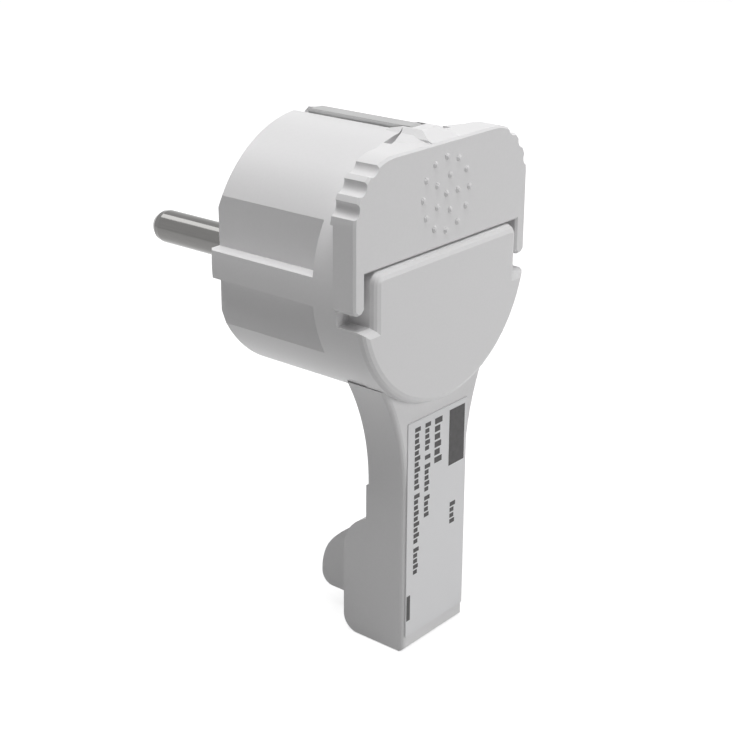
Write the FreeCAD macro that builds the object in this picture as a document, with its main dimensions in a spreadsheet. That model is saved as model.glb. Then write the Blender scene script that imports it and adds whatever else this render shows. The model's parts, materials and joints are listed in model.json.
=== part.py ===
import FreeCAD, Part
import math
import os

import Sketcher
from FreeCAD import Placement, Rotation, Vector

# Earthed 16 A mains plug with a pull handle. X is the width, +Y points along the pins, +Z is up.
# The origin is the middle of the contact face, and a depth is measured from it towards the handle, along -Y.
# All lengths are in millimetres and all angles in degrees.

DRIVING_SIZES = {
    # Round nose that goes into the socket
    "nose_radius": 18.4,
    "front_wall": 3.0,
    "side_wall": 2.2,
    "nose_edge_bevel": 0.8,
    # Guide flats and ribs on both sides of the nose
    "flat_inset": 2.4,
    "flat_wall": 1.6,
    "rib_half_height": 1.95,
    "guide_wall": 3.8,
    # Rear plate with its two legs, its ribbed corners and its grip dots
    "plate_front_depth": 22.8,
    "plate_thickness": 3.6,
    "plate_overhang": 0.3,
    "crest_drop": 0.75,
    "corner_radius": 8.0,
    "leg_thickness": 2.1,
    "leg_bottom": -1.85,
    "window_top": 3.4,
    "flare_length": 2.4,
    "flare_rise": 4.2,
    "flare_knee_run": 1.7,
    "flare_knee_rise": 1.6,
    "plate_bevel": 0.3,
    "leg_corner": 0.6,
    "groove_radius": 1.2,
    "groove_lift": 0.5,
    "groove_first_angle": 16.0,
    "groove_pitch_angle": 21.0,
    "dot_radius": 0.5,
    "dot_height": 0.32,
    "dot_bevel": 0.26,
    "dot_centre_height": 10.55,
    "outer_dot_ring": 5.0,
    "outer_dots_start": 90.0,
    "inner_dot_ring": 2.5,
    "inner_dots_start": 73.0,
    # Crown over the end of the earth strap, with a notch on each side
    "crown_angle": 36.0,
    "ridge_half_width": 1.8,
    "ridge_slope_run": 1.1,
    "ridge_slope_drop": 0.95,
    "ridge_lead": 2.3,
    "ridge_ramp": 2.1,
    "ridge_fall": 2.6,
    "notch_inside": 1.8,
    "notch_outside": 6.4,
    "notch_length": 1.7,
    "notch_drop": 0.8,
    # Neck and tongue, the front half of the handle
    "neck_overlap": 4.0,
    "neck_bevel": 0.5,
    "tongue_end": -31.6,
    "tongue_thickness": 4.0,
    "tongue_slope": 2.3,
    "seam_bend": -23.0,
    # Handle
    "handle_half_width": 7.2,
    "handle_backing": 2.9,
    "handle_end": -56.2,
    "handle_wall": 1.3,
    "handle_rim": 0.5,
    "handle_rim_corner": 0.2,
    "flare_radius": 34.0,
    "flare_start": -31.5,
    # Deeper block at the end of the handle, with the cable inlet
    "block_step": 4.2,
    "block_wall": 1.8,
    "block_shoulder_radius": 6.5,
    "block_shoulder": -43.0,
    "block_corner_radius": 2.5,
    "cable_radius": 3.5,
    "cable_inset": 4.9,
    "inlet_wall": 4.0,
    # Foot that carries the cord grip screw
    "foot_half_width": 4.0,
    "foot_length": 7.0,
    "foot_arch": -46.0,
    "foot_nose_radius": 8.8,
    "foot_nose": -50.0,
    "foot_bottom": -52.4,
    "foot_toe_radius": 2.0,
    # Cover disc
    "disc_overhang": 0.1,
    "disc_thickness": 4.5,
    "disc_rim": 0.75,
    "disc_rim_corner": 0.3,
    "tab_inset": 2.8,
    "tab_top": 3.25,
    "tab_corner_radius": 1.5,
    "shoulder_height": -4.0,
    "cover_wall": 1.9,
    # Pins
    "pin_radius": 2.4,
    "pin_length": 19.0,
    "pin_offset": 9.5,
    "pin_tip_flat": 1.0,
    "pin_tip_turn": 22.0,
    "pin_neck_radius": 2.1,
    "pin_neck_length": 0.3,
    "collar_length": 1.9,
    "terminal_inset": 1.05,
    "terminal_height": 8.0,
    "terminal_length": 10.6,
    "wire_hole_radius": 1.7,
    "wire_hole_offset": 6.6,
    # Insulating carrier around the terminals
    "carrier_half_height": 5.5,
    "carrier_thickness": 3.0,
    "carrier_ring_radius": 5.8,
    # Earth strap and socket
    "strap_half_width": 1.15,
    "strap_side_gap": 0.4,
    "strap_thickness": 1.0,
    "strap_proud": 0.5,
    "strap_front_depth": 3.2,
    "strap_hook": 1.9,
    "strap_round": 0.5,
    "strap_bend_round": 0.8,
    "web_room": 2.2,
    "web_half_width": 4.5,
    "web_top_gap": 1.7,
    "web_bottom": -12.5,
    "lower_entry_gap": 1.2,
    "earth_inset": 8.4,
    "earth_bore_radius": 2.45,
    "earth_sleeve_radius": 3.2,
    "earth_sleeve_floor": 1.0,
    "earth_sleeve_proud": 0.3,
    # Screws, nuts and plates
    "terminal_screw_radius": 1.6,
    "terminal_screw_lift": 2.0,
    "terminal_tip_gap": 0.8,
    "terminal_head_radius": 2.9,
    "terminal_head_height": 2.0,
    "earth_screw_lift": 8.0,
    "earth_screw_radius": 1.5,
    "earth_head_radius": 2.3,
    "earth_head_height": 1.6,
    "earth_nut_half": 2.6,
    "earth_nut_thickness": 2.0,
    "clamp_plate_half": 3.2,
    "clamp_plate_thickness": 0.8,
    "centre_screw_inset": 6.7,
    "centre_screw_radius": 1.5,
    "centre_head_radius": 2.8,
    "centre_head_height": 1.8,
    "centre_head_sink": 0.6,
    "column_radius": 4.0,
    "boss_radius": 4.6,
    "boss_root": 0.5,
    "centre_nut_half": 2.75,
    "centre_nut_thickness": 2.4,
    "handle_screw_height": -27.0,
    "handle_screw_radius": 0.9,
    "handle_head_radius": 1.8,
    "handle_head_height": 1.0,
    "handle_head_sink": 0.1,
    "handle_column_radius": 2.4,
    "handle_joint_lift": 2.1,
    "handle_nut_half": 1.5,
    "handle_nut_thickness": 1.4,
    "grip_screw_height": -48.4,
    "grip_screw_radius": 1.5,
    "grip_head_radius": 2.2,
    "grip_head_height": 2.0,
    "grip_head_sink": 2.0,
    "grip_nut_half": 2.5,
    "grip_nut_thickness": 2.6,
    "grip_pad_half_height": 3.4,
    "grip_pad_thickness": 1.9,
    "screw_end": 0.5,
    "slot_width": 0.9,
    "slot_depth": 0.9,
    # Sticker on the handle
    "label_half_width": 6.7,
    "label_top": -20.6,
    "label_bottom": -53.8,
    "label_thickness": 0.15,
    # Fits
    "fit_clearance": 0.1,
    "seam_gap": 0.05,
}

CORNER_GROOVES = 3
OUTER_DOTS = 12
INNER_DOTS = 5
DOT_SIDES = 8

doc = FreeCAD.newDocument("HandlePlug")
sheet = doc.addObject("Spreadsheet::Sheet", "Sizes")
for row, (alias, number) in enumerate(DRIVING_SIZES.items(), start=1):
    sheet.set(f"A{row}", alias)
    sheet.set(f"B{row}", str(number))
    sheet.setAlias(f"B{row}", alias)
doc.recompute()


class Size:
    """A length that knows its number now and the expression that keeps it bound to the sheet."""

    def __init__(self, number, text):
        self.number = number
        self.text = text

    def __add__(self, other):
        other = as_size(other)
        return Size(self.number + other.number, f"({self.text} + {other.text})")

    def __sub__(self, other):
        other = as_size(other)
        return Size(self.number - other.number, f"({self.text} - {other.text})")

    def __mul__(self, factor):
        return Size(self.number * factor, f"({self.text} * {factor})")

    def __neg__(self):
        return Size(-self.number, f"(-{self.text})")

    def __radd__(self, other):
        return as_size(other) + self

    def __rsub__(self, other):
        return as_size(other) - self


def as_size(value):
    if isinstance(value, Size):
        return value
    return Size(float(value), f"({float(value)})")


def leg_of(hypotenuse, side):
    """The other short side of a right triangle."""
    number = math.sqrt(hypotenuse.number ** 2 - side.number ** 2)
    return Size(number, f"sqrt({hypotenuse.text} * {hypotenuse.text} - {side.text} * {side.text})")


def along(radius, angle, turn):
    """Radius times the cosine (turn 0) or the sine (turn 90) of an angle held in the sheet."""
    number = radius.number * math.cos(math.radians(angle.number - turn))
    return Size(number, f"({radius.text} * cos(({angle.text} - {turn}) * 1 deg))")


class Named:
    """Gives each driving size by its alias, and keeps the sizes that follow from them."""

    def __getattr__(self, alias):
        return Size(DRIVING_SIZES[alias], f"Sizes.{alias}")


s = Named()
zero = as_size(0)

# Radii and widths that follow from the nose
s.cavity_radius = s.nose_radius - s.side_wall
s.flat_half_width = s.nose_radius - s.flat_inset
s.cavity_half_width = s.flat_half_width - s.flat_wall
s.carrier_half_width = s.cavity_half_width - s.fit_clearance
s.collar_radius = s.cavity_half_width - s.pin_offset - s.fit_clearance
s.terminal_width = (s.collar_radius - s.terminal_inset) * 2
s.web_top = s.cavity_radius - s.web_top_gap
s.earth_offset = s.nose_radius - s.earth_inset
s.centre_screw_height = s.centre_screw_inset - s.cavity_radius
s.earth_screw_height = s.centre_screw_height + s.earth_screw_lift
s.plate_half_width = s.nose_radius + s.plate_overhang
s.window_half_width = s.plate_half_width - s.leg_thickness
s.plate_top = s.nose_radius - s.crest_drop
s.strap_top = s.nose_radius + s.strap_proud
s.strap_under = s.strap_top - s.strap_thickness
s.lower_run = s.cavity_radius - s.strap_thickness
s.disc_radius = s.nose_radius + s.disc_overhang
s.disc_cavity_radius = s.disc_radius - s.side_wall
s.tab_half_width = s.nose_radius - s.tab_inset
s.groove_half = s.strap_half_width + s.strap_side_gap
s.channel_half = s.handle_half_width - s.handle_wall
s.grip_pad_half_width = s.channel_half - s.fit_clearance

# Depths that follow from the plane where the cover meets the housing
s.nose_length = s.plate_front_depth - s.flare_length
s.guide_length = s.plate_front_depth - s.guide_wall
s.plate_rear_depth = s.plate_front_depth + s.plate_thickness
s.disc_rear_depth = s.plate_front_depth + s.disc_thickness
s.disc_inside = s.disc_rear_depth - s.cover_wall
s.web_depth = s.plate_front_depth - s.web_room
s.web_rear = s.web_depth + s.strap_thickness
s.earth_sleeve_end_depth = s.web_depth - s.earth_sleeve_floor
s.handle_front_depth = s.plate_front_depth - s.tongue_thickness
s.handle_rear_depth = s.plate_front_depth + s.handle_backing
s.handle_joint_depth = s.plate_front_depth - s.handle_joint_lift
s.tongue_seam_depth = s.plate_front_depth - s.tongue_slope
s.channel_front = s.handle_front_depth + s.handle_wall
s.channel_rear = s.handle_rear_depth - s.handle_wall
s.lower_entry_depth = s.handle_front_depth - s.lower_entry_gap
s.block_front_depth = s.handle_front_depth - s.block_step
s.block_inside = s.block_front_depth + s.block_wall
s.inlet_inside = s.handle_end + s.inlet_wall
s.cable_depth = s.handle_rear_depth - s.cable_inset
s.foot_tip_depth = s.block_front_depth - s.foot_length
s.grip_head_depth = s.foot_tip_depth + s.grip_head_sink

# Depths that follow from the front wall
s.collar_end = s.front_wall + s.collar_length
s.terminal_end_depth = s.collar_end + s.terminal_length
s.wire_hole_depth = s.collar_end + s.wire_hole_offset


# Sketches and features

def plane_of(body, role):
    return next(item for item in body.Origin.OriginFeatures if item.Role == role)


def new_body(label):
    body = doc.addObject("PartDesign::Body", label)
    body.Label = label
    return body


def new_sketch(body, role, offset=zero):
    """A sketch on one of the body's own planes. On XZ_Plane the offset is a depth, on YZ_Plane it is along X."""
    sketch = body.newObject("Sketcher::SketchObject", f"{body.Name}_sketch")
    sketch.AttachmentSupport = [(plane_of(body, role), "")]
    sketch.MapMode = "FlatFace"
    sketch.AttachmentOffset = Placement(Vector(0, 0, offset.number), Rotation())
    sketch.setExpression("AttachmentOffset.Base.z", offset.text)
    return sketch


def pinned(kind, curve, end, size):
    """Holds one coordinate of a point to a size measured from the sketch's origin."""
    if size.number == 0:
        axis = -2 if kind == "DistanceX" else -1
        return Sketcher.Constraint("PointOnObject", curve, end, axis), None
    return Sketcher.Constraint(kind, -1, 1, curve, end, size.number), size.text


def hold(sketch, rules):
    """Adds constraints, each given with the expression that drives it or with None."""
    indices = sketch.addConstraint([constraint for constraint, _ in rules])
    for index, (_, text) in zip(indices, rules):
        if text:
            sketch.setExpression(f"Constraints[{index}]", text)


def arc_between(start, end, radius, left_turn):
    """The shorter arc from start to end, with its centre to the left or to the right of that way."""
    chord = end - start
    middle = start + chord * 0.5
    reach = math.sqrt(max(radius ** 2 - (chord.Length / 2) ** 2, 0.0))
    normal = Vector(-chord.y, chord.x, 0).normalize()
    centre = middle + normal * (reach if left_turn else -reach)
    first, last = (start, end) if left_turn else (end, start)
    angles = [math.atan2(point.y - centre.y, point.x - centre.x) for point in (first, last)]
    circle = Part.Circle(centre, Vector(0, 0, 1), radius)
    return Part.ArcOfCircle(circle, angles[0], angles[1])


def outline(sketch, corners):
    """A closed outline. Each corner is (x, y), or (x, y, radius, turn) where an arc leads to the next corner."""
    points = [Vector(corner[0].number, corner[1].number, 0) for corner in corners]
    ends = []
    rules = []
    for index, corner in enumerate(corners):
        start = points[index]
        end = points[(index + 1) % len(points)]
        if len(corner) == 2:
            curve = sketch.addGeometry(Part.LineSegment(start, end))
            ends.append((curve, 1, 2))
            continue
        left_turn = corner[3] == "left"
        curve = sketch.addGeometry(arc_between(start, end, corner[2].number, left_turn))
        rules.append((Sketcher.Constraint("Radius", curve, corner[2].number), corner[2].text))
        ends.append((curve, 1, 2) if left_turn else (curve, 2, 1))
    for index, (curve, first, last) in enumerate(ends):
        following, following_first, _ = ends[(index + 1) % len(ends)]
        rules.append((Sketcher.Constraint("Coincident", curve, last, following, following_first), None))
        rules.append(pinned("DistanceX", curve, first, corners[index][0]))
        rules.append(pinned("DistanceY", curve, first, corners[index][1]))
    hold(sketch, rules)
    return sketch


def rectangle(sketch, left, right, bottom, top):
    return outline(sketch, [(left, bottom), (right, bottom), (right, top), (left, top)])


def circle(sketch, x, y, radius):
    curve = sketch.addGeometry(Part.Circle(Vector(x.number, y.number, 0), Vector(0, 0, 1), radius.number))
    hold(sketch, [
        (Sketcher.Constraint("Radius", curve, radius.number), radius.text),
        pinned("DistanceX", curve, 3, x),
        pinned("DistanceY", curve, 3, y),
    ])
    return sketch


def feature(body, kind, sketch, length=None, both_ways=False, backwards=False):
    """A Pad or a Pocket. A pocket with no length goes through all."""
    before = body.Shape.Volume if body.Tip else 0.0
    made = body.newObject(f"PartDesign::{kind}", f"{body.Name}_{kind.lower()}")
    made.Profile = sketch
    if length is None:
        made.Type = "ThroughAll"
    else:
        made.Type = "Length"
        made.Length = length.number
        made.setExpression("Length", length.text)
    if both_ways and hasattr(made, "SideType"):
        made.SideType = "Symmetric"
    elif both_ways:
        made.Midplane = True
    made.Reversed = backwards
    doc.recompute()
    grown = body.Shape.Volume - before
    if (kind == "Pad") != (grown > 0.001) or abs(grown) < 0.001:
        raise ValueError(f"{body.Label}: {made.Name} changed the volume by {grown:.3f}")
    return made


def pad(body, sketch, length, **ways):
    return feature(body, "Pad", sketch, length, **ways)


def pocket(body, sketch, length=None, **ways):
    return feature(body, "Pocket", sketch, length, **ways)


def round_edges(body, radius, wanted, kind="Fillet", size_name="Radius"):
    """Rounds the edges of the body that the test wants."""
    names = [f"Edge{number}" for number, edge in enumerate(body.Shape.Edges, start=1) if wanted(edge)]
    if not names:
        raise ValueError(f"{body.Label}: no edge to round")
    made = body.newObject(f"PartDesign::{kind}", f"{body.Name}_round")
    made.Base = (made.BaseFeature, names)
    setattr(made, size_name, radius.number)
    made.setExpression(size_name, radius.text)
    doc.recompute()
    if made.Shape.isNull() or not made.Shape.isValid():
        raise ValueError(f"{body.Label}: the {kind} of {radius.text} fails")
    return made


def bevel_edges(body, width, wanted):
    """Bevels the edges of the body that the test wants."""
    return round_edges(body, width, wanted, kind="Chamfer", size_name="Size")


def soften_rim(body, depth, width, corner_width, wanted):
    """A soft rear rim: a wide bevel, and a narrow one on both of its edges."""
    bevel_edges(body, width, lambda edge: flat_at(edge, depth) and wanted(edge))
    bevel_edges(body, corner_width, lambda edge: wanted(edge)
                and (flat_at(edge, depth) or flat_at(edge, depth - width)))


def near(value, size, slack=0.02):
    return abs(value - size.number) < slack


def depths(edge):
    """The shallowest and the deepest point of an edge."""
    box = edge.BoundBox
    return -box.YMax, -box.YMin


def flat_at(edge, depth):
    shallow, deep = depths(edge)
    return near(shallow, depth) and near(deep, depth)


# Front housing: nose, rear plate with legs, neck and tongue

def front_housing():
    body = new_body("front_housing")
    neck(body)
    pad(body, circle(new_sketch(body, "XZ_Plane"), zero, zero, s.nose_radius), s.plate_front_depth)
    bevel_edges(body, s.nose_edge_bevel, lambda edge: flat_at(edge, zero))
    rear_plate(body)
    crown(body)
    guide_flats(body)
    housing_cavity(body)
    plate_hollow(body)
    strap_ways(body)
    handle_column(body)
    front_holes(body)
    corner_grooves(body)
    grip_dots(body)
    return body


def rear_plate(body):
    """Plate with its two legs and the window that the cover's tab fills."""
    side = s.plate_half_width
    inside = s.window_half_width
    leg = s.leg_bottom
    cut = s.leg_corner
    sketch = outline(new_sketch(body, "XZ_Plane", s.plate_front_depth), plate_shoulders(leg + cut) + [
        (-side, leg + cut),
        (-(side - cut), leg),
        (-(inside + cut), leg),
        (-inside, leg + cut),
        (-inside, s.window_top),
        (inside, s.window_top),
        (inside, leg + cut),
        (inside + cut, leg),
        (side - cut, leg),
    ])
    pad(body, sketch, s.plate_rear_depth - s.plate_front_depth)
    plate_flare(body)
    bevel_edges(body, s.plate_bevel, lambda edge: flat_at(edge, s.plate_rear_depth))


def plate_shoulders(bottom):
    """The upper corners of the plate, from its right side over the top to its left side."""
    side = s.plate_half_width
    corner_x = side - s.corner_radius
    corner_z = s.plate_top - s.corner_radius
    return [
        (side, bottom),
        (side, corner_z, s.corner_radius, "left"),
        (corner_x, s.plate_top),
        (-corner_x, s.plate_top, s.corner_radius, "left"),
        (-side, corner_z),
    ]


def plate_flare(body):
    """The corners of the plate run out on the nose in a hollow flare."""
    low = s.plate_top - s.corner_radius
    shoulders = new_sketch(body, "XZ_Plane", s.nose_length)
    outline(shoulders, plate_shoulders(low)[1:])
    pad(body, shoulders, s.plate_front_depth - s.nose_length)
    flare_top = s.nose_radius + s.flare_rise
    sketch = outline(new_sketch(body, "YZ_Plane"), [
        (-s.nose_length, s.nose_radius),
        (-(s.nose_length + s.flare_knee_run), s.nose_radius + s.flare_knee_rise),
        (-s.plate_front_depth, flare_top),
        (-s.plate_front_depth, flare_top + s.corner_radius),
        (-s.nose_length, flare_top + s.corner_radius),
    ])
    before = body.Shape.Volume
    groove = body.newObject("PartDesign::Groove", "plate_flare")
    groove.Profile = sketch
    groove.ReferenceAxis = (sketch, ["H_Axis"])
    groove.Angle = 180
    groove.Midplane = True
    doc.recompute()
    if body.Shape.Volume >= before:
        raise ValueError("front_housing: the flare cuts nothing")


def crown(body):
    """The top of the nose runs back over the plate and covers the end of the earth strap."""
    ring = outline(new_sketch(body, "YZ_Plane"), [
        (-s.plate_front_depth, s.cavity_radius),
        (-s.plate_front_depth, s.nose_radius),
        (-(s.plate_rear_depth - s.plate_bevel), s.plate_top),
        (-(s.plate_rear_depth - s.plate_bevel), s.cavity_radius),
    ])
    turned_crown = body.newObject("PartDesign::Revolution", "plate_crown")
    turned_crown.Profile = ring
    turned_crown.ReferenceAxis = (ring, ["H_Axis"])
    turned_crown.Angle = s.crown_angle.number
    turned_crown.setExpression("Angle", s.crown_angle.text)
    turned_crown.Midplane = True
    doc.recompute()
    start = s.nose_length - s.ridge_lead
    end = s.plate_rear_depth - s.plate_bevel
    foot = s.ridge_half_width + s.ridge_slope_run
    knee = s.strap_top - s.ridge_slope_drop
    ridge = outline(new_sketch(body, "XZ_Plane", start), [
        (-foot, s.cavity_radius),
        (foot, s.cavity_radius),
        (foot, knee),
        (s.ridge_half_width, s.strap_top),
        (-s.ridge_half_width, s.strap_top),
        (-foot, knee),
    ])
    pad(body, ridge, end - start)
    above = outline(new_sketch(body, "YZ_Plane"), [
        (-start, s.nose_radius),
        (-(start + s.ridge_ramp), s.strap_top),
        (-(end - s.ridge_fall), s.strap_top),
        (-end, s.plate_top),
        (-end, s.strap_top + s.ridge_slope_drop),
        (-start, s.strap_top + s.ridge_slope_drop),
    ])
    pocket(body, above, foot * 2, both_ways=True)
    floor = s.plate_top - s.notch_drop
    notch = new_sketch(body, "XY_Plane", floor)
    for inside, outside in ((s.notch_inside, s.notch_outside), (-s.notch_inside, -s.notch_outside)):
        outline(notch, [
            (inside, -s.nose_length),
            (outside, -s.nose_length),
            (outside, -(s.nose_length + s.notch_length)),
        ])
    pocket(body, notch, s.strap_top - floor, backwards=True)


def handle_outline(sketch, top, bottom):
    """The handle's outline seen along the pins, with its flare towards the disc."""
    half = s.handle_half_width
    rise = top - s.flare_start
    flared = s.handle_half_width + s.flare_radius - leg_of(s.flare_radius, rise)
    return outline(sketch, [
        (flared, top),
        (-flared, top, s.flare_radius, "right"),
        (-half, s.flare_start),
        (-half, bottom),
        (half, bottom),
        (half, s.flare_start, s.flare_radius, "right"),
    ])


def neck(body):
    """Front half of the handle, which ends in a tapered tongue."""
    top = -(s.nose_radius - s.neck_overlap)
    sketch = handle_outline(new_sketch(body, "XZ_Plane", s.handle_front_depth), top, s.tongue_end)
    pad(body, sketch, s.plate_front_depth - s.handle_front_depth)
    bevel_edges(body, s.neck_bevel, lambda edge: flat_at(edge, s.handle_front_depth)
                and not near(edge.BoundBox.ZMin, top) and not near(edge.BoundBox.ZMax, s.tongue_end))
    seam = outline(new_sketch(body, "YZ_Plane"), [
        (-s.plate_front_depth, s.seam_bend),
        (-s.plate_front_depth, s.tongue_end),
        (-s.tongue_seam_depth, s.tongue_end),
    ])
    pocket(body, seam, s.nose_radius * 2, both_ways=True)


def guide_flats(body):
    """Four flats beside the two guide ribs."""
    reach = s.nose_radius + s.fit_clearance
    top = leg_of(s.nose_radius, s.flat_half_width) + s.fit_clearance
    sketch = new_sketch(body, "XZ_Plane")
    for inner, outer in ((s.flat_half_width, reach), (-reach, -s.flat_half_width)):
        rectangle(sketch, inner, outer, s.rib_half_height, top)
        rectangle(sketch, inner, outer, -top, -s.rib_half_height)
    pocket(body, sketch, s.guide_length, backwards=True)


def housing_cavity(body):
    """Room for the terminals, the column of the centre screw and the way down into the handle."""
    half = s.cavity_half_width
    rise = leg_of(s.cavity_radius, half)
    sketch = outline(new_sketch(body, "XZ_Plane", s.plate_front_depth), [
        (half, -rise),
        (half, rise, s.cavity_radius, "left"),
        (-half, rise),
        (-half, -rise, s.cavity_radius, "left"),
    ])
    pocket(body, sketch, s.plate_front_depth - s.front_wall)
    column = new_sketch(body, "XZ_Plane", s.front_wall)
    circle(column, zero, s.centre_screw_height, s.column_radius)
    pad(body, column, s.web_depth - s.front_wall)
    channel = new_sketch(body, "XZ_Plane", s.plate_front_depth)
    rectangle(channel, -s.channel_half, s.channel_half, s.tongue_end + s.handle_wall,
              -(s.cavity_radius - s.handle_wall))
    pocket(body, channel, s.plate_front_depth - s.channel_front)


def strap_ways(body):
    """Grooves for both leaves of the earth strap, with the slots where its ends go in."""
    floor = s.strap_under - s.seam_gap
    crest = s.strap_top + s.seam_gap
    hook_floor = s.strap_top - s.strap_hook - s.seam_gap
    hook_rear = s.strap_front_depth + s.strap_thickness + s.seam_gap
    web_front = s.web_depth - s.seam_gap
    upper_end = s.web_rear + s.seam_gap
    upper = outline(new_sketch(body, "YZ_Plane"), [
        (zero, crest),
        (zero, hook_floor),
        (-hook_rear, hook_floor),
        (-hook_rear, floor),
        (-web_front, floor),
        (-web_front, s.cavity_radius - s.strap_thickness),
        (-upper_end, s.cavity_radius - s.strap_thickness),
        (-upper_end, crest),
    ])
    pocket(body, upper, s.groove_half * 2, both_ways=True)
    lower_end = s.lower_entry_depth + s.seam_gap
    lower_front = s.lower_entry_depth - s.strap_thickness - s.seam_gap
    lower = outline(new_sketch(body, "YZ_Plane"), [
        (zero, -crest),
        (zero, -hook_floor),
        (-hook_rear, -hook_floor),
        (-hook_rear, -floor),
        (-lower_front, -floor),
        (-lower_front, -(s.cavity_radius - s.strap_thickness)),
        (-lower_end, -(s.cavity_radius - s.strap_thickness)),
        (-lower_end, -crest),
    ])
    pocket(body, lower, s.groove_half * 2, both_ways=True)


def plate_hollow(body):
    """Room behind the cavity inside the closed half of the rear plate."""
    low = s.window_top + s.side_wall
    inner = s.cavity_radius - s.fit_clearance
    inner_x = leg_of(inner, low)
    sketch = new_sketch(body, "XZ_Plane", s.plate_rear_depth - s.cover_wall)
    outline(sketch, [(inner_x, low, inner, "left"), (-inner_x, low)])
    pocket(body, sketch, s.plate_rear_depth - s.cover_wall - s.plate_front_depth)


def handle_column(body):
    """Way of the handle screw through the tongue."""
    column = new_sketch(body, "XZ_Plane", s.channel_front)
    circle(column, zero, s.handle_screw_height, s.handle_column_radius)
    pad(body, column, s.handle_joint_depth - s.channel_front)
    screw_way(body, s.handle_screw_height, s.handle_front_depth, s.handle_joint_depth, s.handle_screw_radius,
              s.handle_head_radius, s.handle_head_sink + s.handle_head_height)


def front_holes(body):
    holes = new_sketch(body, "XZ_Plane")
    for side in (-1, 1):
        circle(holes, s.pin_offset * side, zero, s.pin_radius + s.seam_gap)
    circle(holes, zero, s.earth_offset, s.earth_bore_radius)
    pocket(body, holes, s.front_wall, backwards=True)
    screw_way(body, s.centre_screw_height, zero, s.web_depth, s.centre_screw_radius, s.centre_head_radius,
              s.centre_head_sink + s.centre_head_height)


def screw_way(body, z, start, end, radius, head_radius, head_depth):
    """A through hole along the screw with a wider seat for its head at the front."""
    shank = circle(new_sketch(body, "XZ_Plane", start), zero, z, radius + s.fit_clearance)
    pocket(body, shank, end - start, backwards=True)
    head = circle(new_sketch(body, "XZ_Plane", start), zero, z, head_radius + s.fit_clearance)
    pocket(body, head, head_depth, backwards=True)


def nut_way(body, z, start, half, thickness, radius):
    """A square seat for a nut, and room for the screw's end behind it."""
    edge = half + s.seam_gap
    seat = rectangle(new_sketch(body, "XZ_Plane", start), -edge, edge, z - edge, z + edge)
    pocket(body, seat, thickness, backwards=True)
    room = radius + s.fit_clearance
    end = rectangle(new_sketch(body, "XZ_Plane", start), -room, room, z - room, z + room)
    pocket(body, end, thickness + s.screw_end + s.fit_clearance, backwards=True)


def corner_grooves(body):
    """Three finger grooves across each upper corner of the rear plate."""
    corner_x = s.plate_half_width - s.corner_radius
    corner_z = s.plate_top - s.corner_radius
    reach = s.corner_radius + s.groove_lift
    sketch = new_sketch(body, "XZ_Plane", s.plate_rear_depth)
    for step in range(CORNER_GROOVES):
        angle = s.groove_first_angle + s.groove_pitch_angle * step
        across = corner_x + along(reach, angle, 0)
        up = corner_z + along(reach, angle, 90)
        circle(sketch, across, up, s.groove_radius)
        circle(sketch, -across, up, s.groove_radius)
    pocket(body, sketch, s.plate_rear_depth - s.nose_length)


def grip_dots(body):
    """Two rings of raised dots round a middle one."""
    rings = (
        (zero, 1, zero),
        (s.inner_dot_ring, INNER_DOTS, s.inner_dots_start),
        (s.outer_dot_ring, OUTER_DOTS, s.outer_dots_start),
    )
    for ring, count, start in rings:
        sketch = new_sketch(body, "XZ_Plane", s.plate_rear_depth)
        for step in range(count):
            angle = start + as_size(step * 360 / count)
            dot(sketch, along(ring, angle, 0), s.dot_centre_height + along(ring, angle, 90))
        pad(body, sketch, s.dot_height)
    bevel_edges(body, s.dot_bevel, lambda edge: flat_at(edge, s.plate_rear_depth + s.dot_height))


def dot(sketch, x, y):
    """A small outline with equal sides round a point."""
    turns = [as_size(360 * (step + 0.5) / DOT_SIDES) for step in range(DOT_SIDES)]
    outline(sketch, [(x + along(s.dot_radius, turn, 0), y + along(s.dot_radius, turn, 90)) for turn in turns])


# Rear cover: disc with its tab, handle, block and foot

def rear_cover():
    body = new_body("rear_cover")
    cover_handle(body)
    cover_disc(body)
    cover_block(body)
    cover_foot(body)
    cover_inside(body)
    handle_boss(body)
    grip_ways(body)
    return body


def cover_disc(body):
    shoulder_x = leg_of(s.disc_radius, s.shoulder_height)
    tab = s.tab_half_width
    corner = s.tab_corner_radius
    sketch = outline(new_sketch(body, "XZ_Plane", s.plate_front_depth), [
        (tab, s.shoulder_height),
        (tab, s.tab_top - corner, corner, "left"),
        (tab - corner, s.tab_top),
        (-(tab - corner), s.tab_top, corner, "left"),
        (-tab, s.tab_top - corner),
        (-tab, s.shoulder_height),
        (-shoulder_x, s.shoulder_height, s.disc_radius, "left"),
        (shoulder_x, s.shoulder_height),
    ])
    pad(body, sketch, s.disc_rear_depth - s.plate_front_depth)
    soften_rim(body, s.disc_rear_depth, s.disc_rim, s.disc_rim_corner, lambda edge: True)


def cover_handle(body):
    top = -(s.nose_radius - s.neck_overlap)
    sketch = handle_outline(new_sketch(body, "XZ_Plane", s.handle_front_depth), top, s.handle_end)
    pad(body, sketch, s.handle_rear_depth - s.handle_front_depth)
    soften_rim(body, s.handle_rear_depth, s.handle_rim, s.handle_rim_corner,
               lambda edge: not near(edge.BoundBox.ZMin, top))
    room = s.handle_front_depth - s.handle_wall
    seam = outline(new_sketch(body, "YZ_Plane"), [
        (-room, s.tongue_end),
        (-s.tongue_seam_depth, s.tongue_end),
        (-s.plate_front_depth, s.seam_bend),
        (-s.plate_front_depth, zero),
        (-room, zero),
    ])
    pocket(body, seam, s.nose_radius * 2, both_ways=True)


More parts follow.
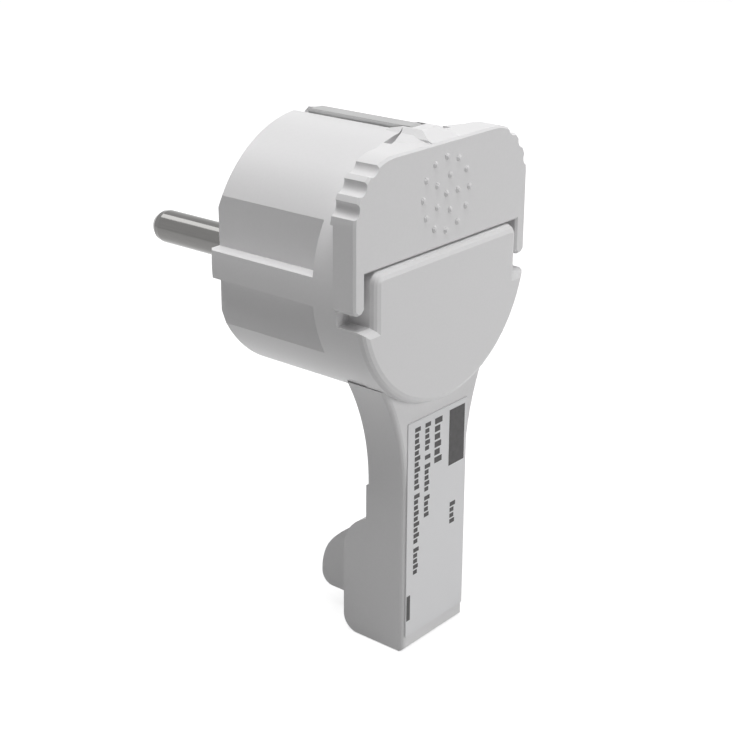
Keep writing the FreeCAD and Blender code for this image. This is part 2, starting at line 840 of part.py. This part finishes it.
def cover_block(body):
    """The block is deeper than the handle, with a round shoulder and a round lower corner."""
    shoulder = s.block_shoulder_radius
    centre_depth = s.block_front_depth + shoulder
    rise = leg_of(shoulder, centre_depth - s.handle_front_depth)
    sketch = outline(new_sketch(body, "YZ_Plane"), [
        (-s.handle_front_depth, s.block_shoulder + rise, shoulder, "right"),
        (-s.block_front_depth, s.block_shoulder),
        (-s.block_front_depth, s.handle_end + s.block_corner_radius, s.block_corner_radius, "right"),
        (-(s.block_front_depth + s.block_corner_radius), s.handle_end),
        (-s.channel_rear, s.handle_end),
        (-s.channel_rear, s.block_shoulder + rise),
    ])
    pad(body, sketch, s.handle_half_width * 2, both_ways=True)


def cover_foot(body):
    """An arched foot towards the wall with a round nose."""
    half = s.foot_half_width
    sketch = outline(new_sketch(body, "XZ_Plane", s.foot_tip_depth), [
        (half, s.foot_arch, half, "left"),
        (zero, s.foot_arch + half, half, "left"),
        (-half, s.foot_arch),
        (-half, s.foot_bottom),
        (half, s.foot_bottom),
    ])
    pad(body, sketch, s.block_front_depth + s.handle_wall - s.foot_tip_depth)
    nose = s.foot_nose_radius
    centre_depth = s.foot_tip_depth + nose
    top = s.foot_nose + leg_of(nose, centre_depth - s.block_front_depth)
    past = s.foot_tip_depth - s.handle_wall
    above = s.foot_arch + half + s.handle_wall
    trim = outline(new_sketch(body, "YZ_Plane"), [
        (-s.foot_tip_depth, s.foot_nose, nose, "left"),
        (-s.block_front_depth, top),
        (-s.block_front_depth, above),
        (-past, above),
        (-past, s.foot_nose),
    ])
    pocket(body, trim, s.handle_half_width * 2, both_ways=True)
    round_edges(body, s.foot_toe_radius, lambda edge: flat_at(edge, s.foot_tip_depth)
                and near(edge.BoundBox.ZMax, s.foot_bottom))


def cover_inside(body):
    """Hollow of the disc, wire channel of the handle and room for the cord grip."""
    ledge = s.tab_half_width - s.cover_wall
    hollow = new_sketch(body, "XZ_Plane", s.plate_front_depth)
    inner = s.disc_cavity_radius
    inner_x = leg_of(inner, s.shoulder_height - s.cover_wall)
    outline(hollow, [
        (ledge, s.shoulder_height - s.cover_wall),
        (ledge, s.tab_top - s.cover_wall),
        (-ledge, s.tab_top - s.cover_wall),
        (-ledge, s.shoulder_height - s.cover_wall),
        (-inner_x, s.shoulder_height - s.cover_wall, inner, "left"),
        (inner_x, s.shoulder_height - s.cover_wall),
    ])
    pocket(body, hollow, s.disc_inside - s.plate_front_depth, backwards=True)
    way = outline(new_sketch(body, "YZ_Plane"), [
        (-s.channel_rear, -(s.cavity_radius - s.neck_overlap)),
        (-s.channel_rear, s.inlet_inside),
        (-s.block_inside, s.inlet_inside),
        (-s.block_inside, s.block_shoulder),
        (-s.channel_front, s.block_shoulder + s.block_shoulder_radius - s.handle_wall),
        (-s.channel_front, -(s.cavity_radius - s.neck_overlap)),
    ])
    pocket(body, way, s.channel_half * 2, both_ways=True)
    boss = new_sketch(body, "XZ_Plane", s.web_rear)
    circle(boss, zero, s.centre_screw_height, s.boss_radius)
    pad(body, boss, s.disc_inside + s.boss_root - s.web_rear)
    nut_way(body, s.centre_screw_height, s.web_rear, s.centre_nut_half, s.centre_nut_thickness,
            s.centre_screw_radius)


def handle_boss(body):
    """Seat of the nut that takes the handle screw."""
    boss = new_sketch(body, "XZ_Plane", s.handle_joint_depth)
    circle(boss, zero, s.handle_screw_height, s.handle_column_radius)
    pad(body, boss, s.channel_rear + s.boss_root - s.handle_joint_depth)
    nut_way(body, s.handle_screw_height, s.handle_joint_depth, s.handle_nut_half, s.handle_nut_thickness,
            s.handle_screw_radius)


def grip_ways(body):
    """Cable inlet in the end of the block, and the way of the cord grip screw through the foot."""
    inlet = new_sketch(body, "XY_Plane", s.handle_end)
    circle(inlet, zero, -s.cable_depth, s.cable_radius)
    pocket(body, inlet, s.inlet_wall, backwards=True)
    screw_way(body, s.grip_screw_height, s.foot_tip_depth, s.block_inside, s.grip_screw_radius,
              s.grip_head_radius, s.grip_head_sink + s.grip_head_height)
    nut = new_sketch(body, "XZ_Plane", s.block_inside)
    half = s.grip_nut_half + s.seam_gap
    rectangle(nut, -half, half, s.grip_screw_height - half, s.grip_screw_height + half)
    pocket(body, nut, s.grip_nut_thickness)


# Pins, carrier and terminal screws

def pin(label, side):
    """A round contact pin with a collar and a terminal block on its inner end."""
    body = new_body(label)
    round_start = s.pin_length - leg_of(s.pin_radius, s.pin_tip_flat)
    turns = (s.pin_tip_turn, s.pin_tip_turn * 2)
    tip = [(along(s.pin_radius, turn, 0), round_start + along(s.pin_radius, turn, 90)) for turn in turns]
    shaft = outline(new_sketch(body, "XY_Plane"), [
        (zero, -s.collar_end),
        (s.collar_radius, -s.collar_end),
        (s.collar_radius, -s.front_wall),
        (s.pin_neck_radius, -s.front_wall),
        (s.pin_neck_radius, s.pin_neck_length),
        (s.pin_radius, s.pin_neck_length),
        (s.pin_radius, round_start),
        *tip,
        (s.pin_tip_flat, s.pin_length),
        (zero, s.pin_length),
    ])
    turned_shaft = body.newObject("PartDesign::Revolution", f"{label}_shaft")
    turned_shaft.Profile = shaft
    turned_shaft.ReferenceAxis = (shaft, ["V_Axis"])
    turned_shaft.Angle = 360
    doc.recompute()
    half = s.terminal_width * 0.5
    rise = s.terminal_height * 0.5
    pad(body, rectangle(new_sketch(body, "XZ_Plane", s.collar_end), -half, half, -rise, rise),
        s.terminal_end_depth - s.collar_end)
    pocket(body, circle(new_sketch(body, "XY_Plane", -rise), zero, -s.wire_hole_depth, s.wire_hole_radius),
           s.terminal_height, backwards=True)
    pocket(body, circle(new_sketch(body, "XZ_Plane", s.terminal_end_depth), zero, zero, s.terminal_screw_radius),
           s.terminal_end_depth - s.wire_hole_depth)
    place = s.pin_offset * side
    body.Placement = Placement(Vector(place.number, 0, 0), Rotation())
    body.setExpression("Placement.Base.x", place.text)
    doc.recompute()
    return body


def pin_carrier():
    """Insulating plate that holds the collars of both pins against the front wall."""
    body = new_body("pin_carrier")
    plate = rectangle(new_sketch(body, "XZ_Plane", s.collar_end), -s.carrier_half_width, s.carrier_half_width,
                      -s.carrier_half_height, s.carrier_half_height)
    pad(body, plate, s.carrier_thickness)
    ring = new_sketch(body, "XZ_Plane", s.collar_end)
    pad(body, circle(ring, zero, s.centre_screw_height, s.carrier_ring_radius), s.carrier_thickness)
    holes = new_sketch(body, "XZ_Plane", s.collar_end)
    circle(holes, zero, s.centre_screw_height, s.column_radius + s.seam_gap)
    half = s.terminal_width * 0.5 + s.seam_gap
    rise = s.terminal_height * 0.5 + s.seam_gap
    for side in (-1, 1):
        x = s.pin_offset * side
        rectangle(holes, x - half, x + half, -rise, rise)
    pocket(body, holes, s.carrier_thickness, backwards=True)
    return body


def turned(body, x, z, steps):
    """Round steps along the screw's axis, each with its radius, first depth and last depth."""
    for radius, start, end in steps:
        pad(body, circle(new_sketch(body, "XZ_Plane", start), x, z, radius), end - start)


def slot(body, x, z, radius, face, from_rear):
    """A screwdriver slot across a head."""
    half = s.slot_width * 0.5
    reach = radius + s.fit_clearance
    sketch = rectangle(new_sketch(body, "XZ_Plane", face), x - reach, x + reach, z - half, z + half)
    pocket(body, sketch, s.slot_depth, backwards=not from_rear)


def terminal_screw(label, side):
    body = new_body(label)
    x = s.pin_offset * side
    head = s.terminal_end_depth + s.terminal_screw_lift
    head_end = head + s.terminal_head_height
    tip = s.wire_hole_depth + s.terminal_tip_gap
    turned(body, x, zero, [(s.terminal_screw_radius, tip, head), (s.terminal_head_radius, head, head_end)])
    slot(body, x, zero, s.terminal_head_radius, head_end, True)
    return body


# Earth strap, socket and terminal

def earth_strap():
    """A folded sheet with a leaf on top of the nose, a leaf below it and a web behind the terminals."""
    body = new_body("earth_strap")
    front = s.strap_front_depth
    bend = front + s.strap_thickness
    tip = s.strap_top - s.strap_hook
    entry = s.lower_entry_depth
    entry_front = entry - s.strap_thickness
    run = s.lower_run - s.strap_thickness
    sketch = outline(new_sketch(body, "YZ_Plane"), [
        (-front, s.strap_top),
        (-front, tip),
        (-bend, tip),
        (-bend, s.strap_under),
        (-s.web_depth, s.strap_under),
        (-s.web_depth, -run),
        (-entry_front, -run),
        (-entry_front, -s.strap_under),
        (-bend, -s.strap_under),
        (-bend, -tip),
        (-front, -tip),
        (-front, -s.strap_top),
        (-entry, -s.strap_top),
        (-entry, -s.lower_run),
        (-s.web_rear, -s.lower_run),
        (-s.web_rear, s.strap_top),
    ])
    pad(body, sketch, s.strap_half_width * 2, both_ways=True)
    round_edges(body, s.strap_round, lambda edge: flat_at(edge, front)
                and near(abs(edge.BoundBox.ZMin), s.strap_top))
    round_edges(body, s.strap_bend_round, lambda edge: flat_at(edge, s.web_rear)
                and near(edge.BoundBox.ZMin, s.strap_top))
    web = rectangle(new_sketch(body, "XZ_Plane", s.web_depth), -s.web_half_width, s.web_half_width,
                    s.web_bottom, s.web_top)
    pad(body, web, s.strap_thickness)
    holes = new_sketch(body, "XZ_Plane", s.web_depth)
    circle(holes, zero, s.earth_offset, s.earth_sleeve_radius)
    circle(holes, zero, s.earth_screw_height, s.earth_screw_radius)
    circle(holes, zero, s.centre_screw_height, s.centre_screw_radius + s.fit_clearance)
    pocket(body, holes, s.strap_thickness, backwards=True)
    return body


def earth_socket():
    """Sleeve for an earth pin, pressed through the web of the strap."""
    body = new_body("earth_socket")
    end = s.web_rear + s.earth_sleeve_proud
    turned(body, zero, s.earth_offset, [(s.earth_sleeve_radius, s.front_wall, end)])
    bore = circle(new_sketch(body, "XZ_Plane", s.front_wall), zero, s.earth_offset, s.earth_bore_radius)
    pocket(body, bore, s.earth_sleeve_end_depth - s.front_wall, backwards=True)
    return body


def square_plate(label, z, half, start, thickness, hole):
    """A square nut or plate with a round hole."""
    body = new_body(label)
    pad(body, rectangle(new_sketch(body, "XZ_Plane", start), -half, half, z - half, z + half), thickness)
    pocket(body, circle(new_sketch(body, "XZ_Plane", start), zero, z, hole), thickness, backwards=True)
    return body


def earth_terminal_screw():
    body = new_body("earth_terminal_screw")
    head = s.web_rear + s.clamp_plate_thickness
    head_end = head + s.earth_head_height
    tip = s.web_depth - s.earth_nut_thickness - s.screw_end
    turned(body, zero, s.earth_screw_height, [
        (s.earth_screw_radius, tip, head),
        (s.earth_head_radius, head, head_end),
    ])
    slot(body, zero, s.earth_screw_height, s.earth_head_radius, head_end, True)
    return body


# Screws that go in from the front

def front_screw(label, z, head_radius, head, head_height, radius, tip):
    body = new_body(label)
    turned(body, zero, z, [(head_radius, head, head + head_height), (radius, head + head_height, tip)])
    slot(body, zero, z, head_radius, head, False)
    return body


def grip_pad():
    """Plate that the grip screw presses on the cord."""
    body = new_body("grip_pad")
    middle = s.grip_screw_height
    start = s.block_inside + s.fit_clearance
    half = s.grip_pad_half_height
    sketch = new_sketch(body, "XZ_Plane", start)
    rectangle(sketch, -s.grip_pad_half_width, s.grip_pad_half_width, middle - half, middle + half)
    pad(body, sketch, s.grip_pad_thickness)
    return body


def label():
    """A sticker on the back of the handle."""
    body = new_body("label")
    sketch = new_sketch(body, "XZ_Plane", s.handle_rear_depth)
    rectangle(sketch, -s.label_half_width, s.label_half_width, s.label_bottom, s.label_top)
    pad(body, sketch, s.label_thickness)
    return body


front_housing()
rear_cover()
pin("left_pin", -1)
pin("right_pin", 1)
pin_carrier()
terminal_screw("left_terminal_screw", -1)
terminal_screw("right_terminal_screw", 1)
earth_strap()
earth_socket()
earth_terminal_screw()
square_plate("earth_clamp_plate", s.earth_screw_height, s.clamp_plate_half, s.web_rear, s.clamp_plate_thickness,
             s.earth_screw_radius)
square_plate("earth_terminal_nut", s.earth_screw_height, s.earth_nut_half, s.web_depth - s.earth_nut_thickness,
             s.earth_nut_thickness, s.earth_screw_radius)
front_screw("centre_screw", s.centre_screw_height, s.centre_head_radius, s.centre_head_sink,
            s.centre_head_height, s.centre_screw_radius, s.web_rear + s.centre_nut_thickness + s.screw_end)
square_plate("centre_nut", s.centre_screw_height, s.centre_nut_half, s.web_rear, s.centre_nut_thickness,
             s.centre_screw_radius)
front_screw("handle_screw", s.handle_screw_height, s.handle_head_radius,
            s.handle_front_depth + s.handle_head_sink, s.handle_head_height, s.handle_screw_radius,
            s.handle_joint_depth + s.handle_nut_thickness + s.screw_end)
square_plate("handle_nut", s.handle_screw_height, s.handle_nut_half, s.handle_joint_depth,
             s.handle_nut_thickness, s.handle_screw_radius)
front_screw("grip_screw", s.grip_screw_height, s.grip_head_radius, s.grip_head_depth, s.grip_head_height,
            s.grip_screw_radius, s.block_inside + s.fit_clearance)
square_plate("grip_nut", s.grip_screw_height, s.grip_nut_half, s.block_inside - s.grip_nut_thickness,
             s.grip_nut_thickness, s.grip_screw_radius)
grip_pad()
label()
doc.recompute()

for item in doc.Objects:
    if "Invalid" in item.State or "Error" in item.State:
        raise ValueError(f"{item.Label} failed: {item.State}")
bodies = [item for item in doc.Objects if item.TypeId == "PartDesign::Body"]
for body in bodies:
    if body.Shape.isNull() or not body.Shape.isValid() or len(body.Shape.Solids) != 1:
        raise ValueError(f"{body.Label} has no sound single solid")

os.makedirs("parts", exist_ok=True)
for body in bodies:
    body.Shape.exportStep(f"parts/{body.Label}.step")
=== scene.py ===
import json

import bpy
from mathutils import Matrix, Vector


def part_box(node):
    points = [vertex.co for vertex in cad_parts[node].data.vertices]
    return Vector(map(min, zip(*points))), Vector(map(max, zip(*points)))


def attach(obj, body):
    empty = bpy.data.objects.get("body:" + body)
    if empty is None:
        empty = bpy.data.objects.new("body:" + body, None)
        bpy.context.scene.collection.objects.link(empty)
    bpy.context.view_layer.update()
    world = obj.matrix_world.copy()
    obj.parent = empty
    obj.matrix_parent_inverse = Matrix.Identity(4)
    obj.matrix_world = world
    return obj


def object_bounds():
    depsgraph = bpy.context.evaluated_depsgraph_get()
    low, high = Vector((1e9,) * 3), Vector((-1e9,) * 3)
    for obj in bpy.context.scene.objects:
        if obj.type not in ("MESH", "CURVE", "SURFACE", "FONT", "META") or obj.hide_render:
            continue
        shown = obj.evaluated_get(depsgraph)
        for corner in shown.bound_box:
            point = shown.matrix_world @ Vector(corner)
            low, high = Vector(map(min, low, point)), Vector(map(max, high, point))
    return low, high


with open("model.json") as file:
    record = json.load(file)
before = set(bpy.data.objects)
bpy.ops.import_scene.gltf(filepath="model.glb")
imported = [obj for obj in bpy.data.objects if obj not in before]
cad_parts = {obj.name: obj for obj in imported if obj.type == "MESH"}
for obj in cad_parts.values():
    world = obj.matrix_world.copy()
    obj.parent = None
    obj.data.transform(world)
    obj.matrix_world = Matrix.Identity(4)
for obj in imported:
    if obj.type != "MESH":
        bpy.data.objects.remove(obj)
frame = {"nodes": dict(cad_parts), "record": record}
cad_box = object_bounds()

MM = 0.001

# The view of the photograph: the camera's place, its three directions, and its lens for a 36 mm sensor.
CAMERA_PLACE_MM = (-160.071, -146.006, 64.316)
CAMERA_RIGHT = (0.64064672, -0.76782881, 0.00327073)
CAMERA_DOWN = (-0.27854862, -0.2363755, -0.93087985)
CAMERA_FORWARD = (0.71552948, 0.59545407, -0.36531084)
CAMERA_NEAR = 0.01
CAMERA_FAR = 20.0
FOCAL_PIXELS = 1562.2
IMAGE_WIDTH = 733
SENSOR_MM = 36.0

# Colours, linear
SHELL_WHITE = (0.78, 0.775, 0.78)
LABEL_WHITE = (0.78, 0.78, 0.79)
PRINT_BLACK = (0.035, 0.033, 0.034)
CARRIER_GREY = (0.42, 0.41, 0.38)
NICKEL = (0.19, 0.187, 0.183)
ZINC = (0.55, 0.56, 0.58)
STRAP_STEEL = (0.50, 0.50, 0.50)
FLOOR_WHITE = (0.55, 0.55, 0.55)
PURE_WHITE = (1.0, 1.0, 1.0, 1.0)

# Surfaces: the shell's specular level, the stretch of a texture in three directions, and the part of
# the noise's range that a change of colour or roughness is spread over
SHELL_SHINE = 0.3
EVEN = (1.0, 1.0, 1.0)
ALONG_THE_PINS = (3.0, 0.4, 3.0)
ALONG_THE_STRAP = (8.0, 0.4, 8.0)
NOISE_LOW = 0.35
NOISE_HIGH = 0.65

# Light, in metres and watts; each lamp is its name, its place, its side and its power
WORLD_STRENGTH = 0.12
FLOOR_LIFT = 0.78
FLOOR_SIZE = 6.0
FLOOR_GAP = 0.0002
FLOOR_ROUGHNESS = 0.9
LAMP_AIM = (0, 0, -0.01)
LAMPS = (
    ("top_light", (-0.08, -0.04, 0.7), 0.5, 4.3),
    ("back_light", (0.32, -0.6, 0.12), 0.4, 1.8),
    ("front_light", (-0.03, 0.5, 0.46), 0.26, 0.5),
)

# Print on the sticker, in millimetres of the frame's X and Z. A field is its left, right, top and bottom.
BADGE = (2.6, 6.2, -21.4, -30.0)
INK_RAISE_MM = 0.012

# Each line is its middle, its height, its top and the count of blank letters in each word.
TEXT_LINES = (
    (0.1, 1.7, -21.6, (6,)),
    (-2.3, 1.25, -21.6, (5, 1, 5, 4)),
    (-4.6, 1.25, -21.6, (11, 9, 5)),
    (3.8, 1.3, -36.0, (4,)),
)

# A bar near the foot of the sticker: its middle, its height, its top and its length
FOOT_BAR = (-6.2, 0.8, -47.3, 4.0)

# Letters and gaps as shares of their line's height
LETTER_WIDTH = 0.52
LETTER_GAP = 0.18
LETTER_HEIGHTS = (1.0, 0.72, 0.72, 0.88, 0.72, 1.0, 0.72)
WORD_GAP = 0.42


# Materials

def shader_of(material):
    return material.node_tree.nodes["Principled BSDF"]


def new_material(name, colour, roughness, metallic=0.0):
    material = bpy.data.materials.new(name)
    material.use_nodes = True
    shader = shader_of(material)
    shader.inputs["Base Color"].default_value = (*colour, 1.0)
    shader.inputs["Roughness"].default_value = roughness
    shader.inputs["Metallic"].default_value = metallic
    return material


def noise(material, scale, detail, stretch=EVEN):
    """Noise over the object's own coordinates in metres."""
    nodes = material.node_tree.nodes
    links = material.node_tree.links
    place = nodes.new("ShaderNodeTexCoord")
    mapping = nodes.new("ShaderNodeMapping")
    mapping.inputs["Scale"].default_value = stretch
    links.new(place.outputs["Object"], mapping.inputs["Vector"])
    texture = nodes.new("ShaderNodeTexNoise")
    texture.inputs["Scale"].default_value = scale
    texture.inputs["Detail"].default_value = detail
    links.new(mapping.outputs["Vector"], texture.inputs["Vector"])
    return texture.outputs["Fac"]


def vary_roughness(material, factor, low, high):
    spread = material.node_tree.nodes.new("ShaderNodeMapRange")
    spread.inputs["From Min"].default_value = NOISE_LOW
    spread.inputs["From Max"].default_value = NOISE_HIGH
    spread.inputs["To Min"].default_value = low
    spread.inputs["To Max"].default_value = high
    links = material.node_tree.links
    links.new(factor, spread.inputs["Value"])
    links.new(spread.outputs["Result"], shader_of(material).inputs["Roughness"])


def vary_colour(material, factor, colour, darkest):
    """Runs from a share of the colour to the colour itself."""
    ramp = material.node_tree.nodes.new("ShaderNodeValToRGB")
    low, high = ramp.color_ramp.elements
    low.position = NOISE_LOW
    low.color = (*(channel * darkest for channel in colour), 1.0)
    high.position = NOISE_HIGH
    high.color = (*colour, 1.0)
    links = material.node_tree.links
    links.new(factor, ramp.inputs["Fac"])
    links.new(ramp.outputs["Color"], shader_of(material).inputs["Base Color"])


def add_bump(material, factor, strength, distance):
    bump = material.node_tree.nodes.new("ShaderNodeBump")
    bump.inputs["Strength"].default_value = strength
    bump.inputs["Distance"].default_value = distance
    links = material.node_tree.links
    links.new(factor, bump.inputs["Height"])
    links.new(bump.outputs["Normal"], shader_of(material).inputs["Normal"])


def shell_material():
    """Moulded white plastic: a soft gloss with a very fine grain from the mould."""
    material = new_material("shell_plastic", SHELL_WHITE, roughness=0.34)
    shader_of(material).inputs["Specular IOR Level"].default_value = SHELL_SHINE
    grain = noise(material, scale=2600.0, detail=3.0)
    vary_colour(material, grain, SHELL_WHITE, darkest=0.985)
    vary_roughness(material, grain, low=0.31, high=0.37)
    add_bump(material, grain, strength=0.05, distance=0.00002)
    return material


def label_material():
    """Satin film."""
    material = new_material("label_film", LABEL_WHITE, roughness=0.42)
    vary_roughness(material, noise(material, scale=900.0, detail=3.0), low=0.38, high=0.48)
    return material


def print_material():
    """Black ink, a little duller than the film under it."""
    material = new_material("label_ink", PRINT_BLACK, roughness=0.45)
    vary_roughness(material, noise(material, scale=1200.0, detail=2.0), low=0.4, high=0.52)
    return material


def carrier_material():
    """Dull moulding of the inside."""
    material = new_material("carrier_plastic", CARRIER_GREY, roughness=0.55)
    grain = noise(material, scale=2500.0, detail=4.0)
    vary_colour(material, grain, CARRIER_GREY, darkest=0.93)
    add_bump(material, grain, strength=0.2, distance=0.00005)
    return material


def nickel_material():
    """Bright plated metal with a faint unevenness along the pins."""
    material = new_material("nickel_plate", NICKEL, roughness=0.12, metallic=1.0)
    lines = noise(material, scale=900.0, detail=3.0, stretch=ALONG_THE_PINS)
    vary_colour(material, lines, NICKEL, darkest=0.95)
    vary_roughness(material, lines, low=0.1, high=0.14)
    return material


def zinc_material():
    """Zinc-plated screws and nuts with faint spots."""
    material = new_material("zinc_plate", ZINC, roughness=0.35, metallic=1.0)
    spots = noise(material, scale=1400.0, detail=4.0)
    vary_colour(material, spots, ZINC, darkest=0.88)
    vary_roughness(material, spots, low=0.3, high=0.45)
    return material


def strap_material():
    """Rolled sheet with a grain along the plug."""
    material = new_material("strap_sheet", STRAP_STEEL, roughness=0.36, metallic=1.0)
    grain = noise(material, scale=700.0, detail=3.0, stretch=ALONG_THE_STRAP)
    vary_colour(material, grain, STRAP_STEEL, darkest=0.88)
    vary_roughness(material, grain, low=0.3, high=0.45)
    add_bump(material, grain, strength=0.1, distance=0.00003)
    return material


SLOT_MATERIALS = {
    "shell": shell_material(),
    "label": label_material(),
    "carrier": carrier_material(),
    "pin_metal": nickel_material(),
    "screw_steel": zinc_material(),
    "strap_metal": strap_material(),
}


def dress_nodes():
    """Gives each CAD node the material of its slot in the record."""
    for entry in frame["record"]["subparts"]:
        node = frame["nodes"][entry["node"]]
        for slot in node.material_slots:
            slot.material = SLOT_MATERIALS[entry["material_slot"]]


# Print on the sticker

def rectangle(left, right, top, bottom):
    return [(left, bottom), (right, bottom), (right, top), (left, top)]


def print_fields():
    """A plain dark field, rows of blank letters that run down the sticker, and a bar."""
    fields = [rectangle(*BADGE)]
    for line in TEXT_LINES:
        fields += words(*line)
    middle, height, top, length = FOOT_BAR
    fields.append(rectangle(middle - height / 2, middle + height / 2, top, top - length))
    return fields


def words(middle, height, top, counts):
    """Blank letters on one base line; their widths and gaps follow the height of the line."""
    base = middle - height / 2
    width = LETTER_WIDTH * height
    fields = []
    for count in counts:
        for index in range(count):
            tall = height * LETTER_HEIGHTS[index % len(LETTER_HEIGHTS)]
            fields.append(rectangle(base, base + tall, top, top - width))
            top -= width + LETTER_GAP * height
        top -= WORD_GAP * height
    return fields


def label_print():
    """One mesh of thin flat fields on the sticker's face."""
    low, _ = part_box("label")
    depth = low[1] - INK_RAISE_MM * MM
    vertices = []
    faces = []
    for corners in print_fields():
        start = len(vertices)
        vertices += [(x * MM, depth, z * MM) for x, z in corners]
        faces.append(range(start, len(vertices)))
    mesh = bpy.data.meshes.new("label_print")
    mesh.from_pydata(vertices, [], faces)
    mesh.materials.append(print_material())
    piece = bpy.data.objects.new("label_print", mesh)
    bpy.context.scene.collection.objects.link(piece)
    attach(piece, "root")


# Stage, light and camera

def floor():
    """A pale floor just under the part."""
    height = cad_box[0][2] - FLOOR_GAP
    bpy.ops.mesh.primitive_plane_add(size=FLOOR_SIZE, location=(0, 0, height))
    plane = bpy.context.object
    plane.name = "floor"
    material = new_material("floor_white", FLOOR_WHITE, FLOOR_ROUGHNESS)
    plane.data.materials.append(material)
    lift_to_white(material)


def seen_strength(tree, unseen, seen):
    """One strength for what the camera, a reflection or clear glass sees, and another for light."""
    path = tree.nodes.new("ShaderNodeLightPath")
    reflected = larger(tree, path.outputs["Is Glossy Ray"], path.outputs["Is Transmission Ray"])
    viewed = larger(tree, path.outputs["Is Camera Ray"], reflected)
    spread = tree.nodes.new("ShaderNodeMapRange")
    spread.inputs["To Min"].default_value = unseen
    spread.inputs["To Max"].default_value = seen
    tree.links.new(viewed, spread.inputs["Value"])
    return spread.outputs["Result"]


def larger(tree, first, second):
    node = tree.nodes.new("ShaderNodeMath")
    node.operation = "MAXIMUM"
    tree.links.new(first, node.inputs[0])
    tree.links.new(second, node.inputs[1])
    return node.outputs["Value"]


def lift_to_white(material):
    """Lifts the lit floor to white where it is seen and keeps the object's shadow."""
    shader = shader_of(material)
    shader.inputs["Specular IOR Level"].default_value = 0.0
    shader.inputs["Emission Color"].default_value = PURE_WHITE
    tree = material.node_tree
    tree.links.new(seen_strength(tree, 0.0, FLOOR_LIFT), shader.inputs["Emission Strength"])


def backdrop_light():
    """White where it is seen, plain and softer where it lights the object."""
    world = bpy.data.worlds.new("studio")
    bpy.context.scene.world = world
    world.use_nodes = True
    tree = world.node_tree
    background = tree.nodes["Background"]
    background.inputs["Color"].default_value = PURE_WHITE
    tree.links.new(seen_strength(tree, WORLD_STRENGTH, 1.0), background.inputs["Strength"])


def area_light(name, place, size, power):
    """A square lamp that points at the part."""
    light = bpy.data.lights.new(name, "AREA")
    light.shape = "SQUARE"
    light.size = size
    light.energy = power
    lamp = bpy.data.objects.new(name, light)
    bpy.context.scene.collection.objects.link(lamp)
    lamp.location = place
    lamp.rotation_euler = (Vector(LAMP_AIM) - Vector(place)).to_track_quat("-Z", "Y").to_euler()


def camera():
    """The camera that took the photograph, with its axes as the columns of its turn."""
    data = bpy.data.cameras.new("photo_camera")
    data.sensor_fit = "HORIZONTAL"
    data.sensor_width = SENSOR_MM
    data.lens = SENSOR_MM * FOCAL_PIXELS / IMAGE_WIDTH
    data.clip_start = CAMERA_NEAR
    data.clip_end = CAMERA_FAR
    shot = bpy.data.objects.new("photo_camera", data)
    bpy.context.scene.collection.objects.link(shot)
    right = Vector(CAMERA_RIGHT)
    up = -Vector(CAMERA_DOWN)
    back = -Vector(CAMERA_FORWARD)
    turn = Matrix((right, up, back)).transposed().to_4x4()
    shot.matrix_world = Matrix.Translation(Vector(CAMERA_PLACE_MM) * MM) @ turn
    bpy.context.scene.camera = shot


dress_nodes()
label_print()
floor()
backdrop_light()
for lamp_values in LAMPS:
    area_light(*lamp_values)
camera()

bpy.context.scene.view_settings.view_transform = "Standard"
bpy.context.view_layer.update()
